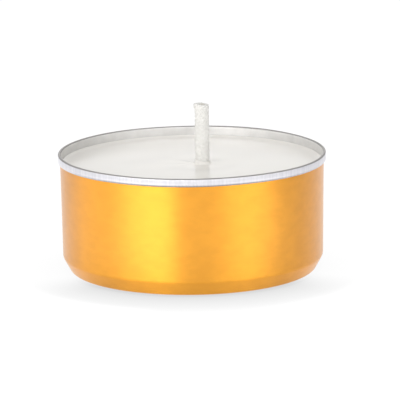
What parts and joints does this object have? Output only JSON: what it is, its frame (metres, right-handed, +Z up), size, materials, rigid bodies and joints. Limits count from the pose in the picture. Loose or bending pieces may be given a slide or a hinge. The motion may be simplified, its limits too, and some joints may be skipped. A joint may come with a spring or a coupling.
{
  "type": "tealight candle",
  "caption": "Short round candle in a thin drawn metal cup with a folded rim: a wax tablet with an upright waxed wick that stands in a crimped disc.",
  "frame": {"origin": "on the cup's axis, in the plane that the cup's standing ring rests on", "axes": "+Z up the cup's axis towards the wick's tip; the wick stands a little off the axis towards +X"},
  "size_m": [0.0384, 0.0384, 0.024],
  "materials": {
    "lacquered_cup": "satin sheet, orange-gold lacquer outside, bare inside and on the folded rim",
    "wax": "smooth translucent white paraffin, softly glossy on top",
    "waxed_cotton": "braided cotton, stiff and slightly glossy with primer wax",
    "core_paper": "twisted paper",
    "tinplate": "thin satin tin plate"
  },
  "bodies": {
    "cup": {"cup": "lacquered_cup"},
    "wick": {"wick_sustainer": "tinplate", "wick_braid": "waxed_cotton", "wick_core": "core_paper"},
    "wax": {"wax_tablet": "wax"}
  },
  "joints": [
    {"name": "candle_lift", "type": "slide", "parent": "cup", "child": "wick", "axis": [0, 0, 1], "range_m": [0, 0.022]},
    {"name": "wax_off_wick", "type": "slide", "parent": "wick", "child": "wax", "axis": [0, 0, 1], "range_m": [0, 0.027]}
  ]
}
